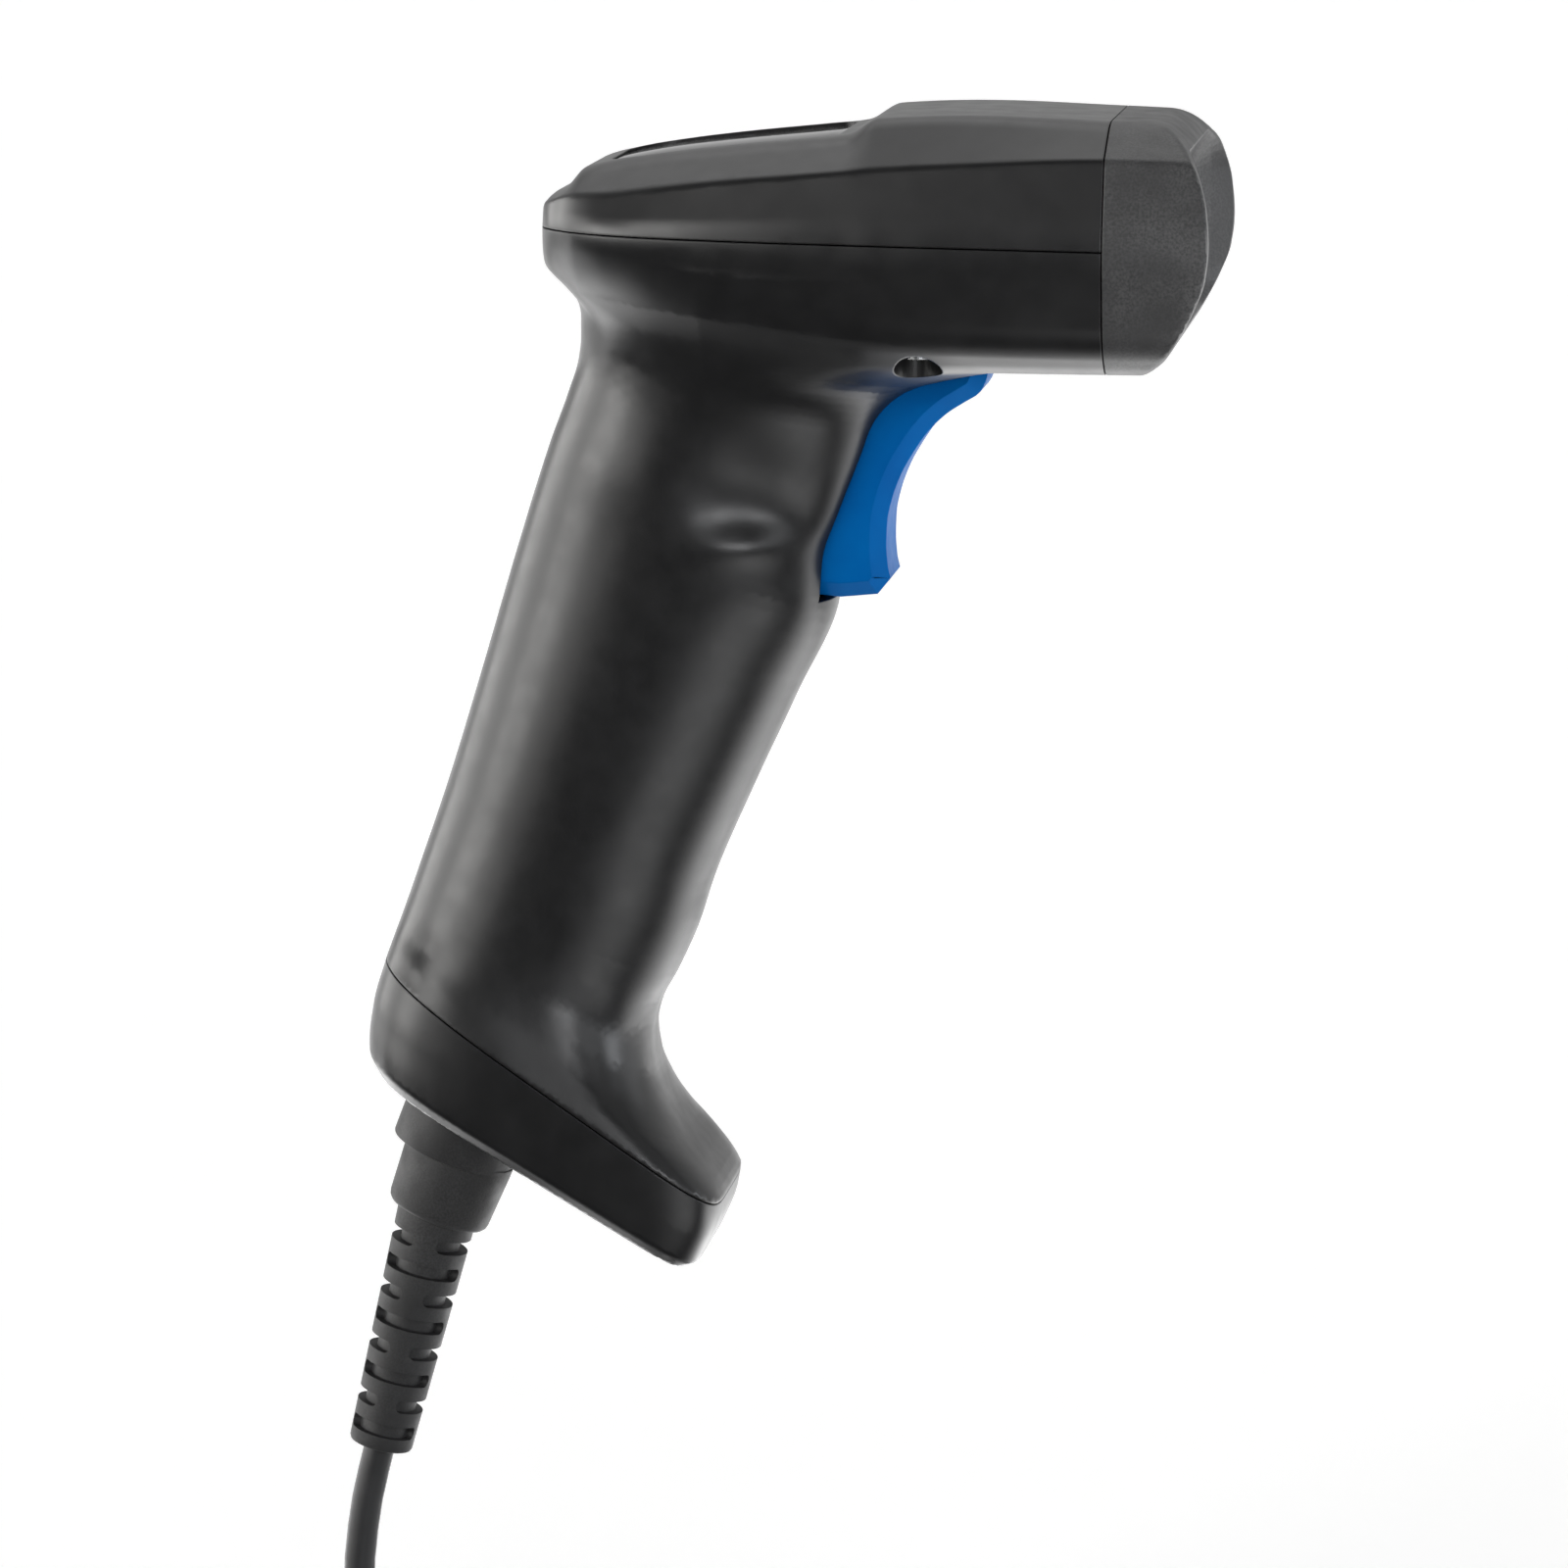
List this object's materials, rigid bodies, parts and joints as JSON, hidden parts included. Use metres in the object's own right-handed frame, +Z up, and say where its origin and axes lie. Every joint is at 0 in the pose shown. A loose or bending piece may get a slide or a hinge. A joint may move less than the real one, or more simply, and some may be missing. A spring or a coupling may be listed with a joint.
{
  "type": "handheld barcode scanner",
  "caption": "Corded gun-type handheld barcode scanner with a hooked foot, front scan window, sprung finger trigger, slotted strain relief and coiled cable with plug.",
  "frame": {"origin": "middle of the hand grip, on the scanner's centre plane, where the hand holds it", "axes": "+X is the scan direction out of the window, +Y the scanner's left side, +Z up; the hand grip leans back toward -X at its foot"},
  "size_m": [0.1293, 0.0971, 0.253],
  "materials": {
    "housing": "satin black moulded plastic",
    "bezel": "fine textured dark grey plastic",
    "deck": "glossy smoked panel",
    "window": "dark red tinted scan window",
    "trigger": "semi-gloss blue plastic",
    "rubber": "matt black rubber",
    "board": "green circuit board",
    "chip": "moulded black component",
    "connector": "cream connector plastic",
    "steel": "plated steel",
    "alloy": "cast alloy",
    "gold": "gold-plated contacts",
    "clear": "clear moulded plastic",
    "lens": "coated lens",
    "flex": "amber flat cable",
    "switch_red": "red plunger"
  },
  "bodies": {
    "scanner": {"lower_housing": "housing", "top_cover": "housing", "deck_inlay": "deck", "front_bezel": "bezel", "scan_window": "window", "window_gasket": "rubber", "base_cap": "housing", "cap_screw": "steel", "housing_screws": "steel", "main_board": "board", "main_processor": "chip", "board_chips": "chip", "board_connectors": "connector", "board_screws": "steel", "beeper": "chip", "status_leds": "connector", "status_light_guide": "clear", "engine_bracket": "steel", "engine_chassis": "alloy", "imager_board": "board", "image_sensor": "chip", "lens_barrel": "chip", "lens_glass": "lens", "aimer_module": "gold", "illumination_board": "board", "illumination_leds": "connector", "ribbon_cable": "flex", "handle_harness": "chip", "handle_board": "board", "modular_jack": "chip", "jack_contacts": "gold", "trigger_bracket": "chip", "trigger_pin": "steel", "switch_board": "board", "trigger_switch": "chip", "trigger_spring": "steel", "modular_plug": "clear", "plug_contacts": "gold", "plug_latch": "clear", "cable_collar": "rubber", "strain_relief": "rubber", "cable_lead": "rubber", "cable_coil": "rubber", "cable_tie": "chip", "cable_tail": "rubber", "usb_grip": "rubber", "usb_shell": "steel", "usb_tongue": "connector", "usb_contacts": "gold"},
    "trigger": {"trigger": "trigger"},
    "switch_button": {"switch_plunger": "switch_red"}
  },
  "joints": [
    {"name": "trigger_pull", "type": "hinge", "parent": "scanner", "child": "trigger", "pos_m": [0.0495, 0, 0.064], "axis": [0, 1, 0], "range_deg": [0, 5], "stiffness_Nm_per_rad": 0.35, "springref_deg": -6.88, "deforming": ["trigger_spring"]},
    {"name": "switch_travel", "type": "slide", "parent": "scanner", "child": "switch_button", "axis": [-1, 0, 0], "range_m": [0, 0.0019]}
  ],
  "couplings": [
    {"joint": "switch_travel", "follows": "trigger_pull", "m_per_rad": 0.0207}
  ]
}
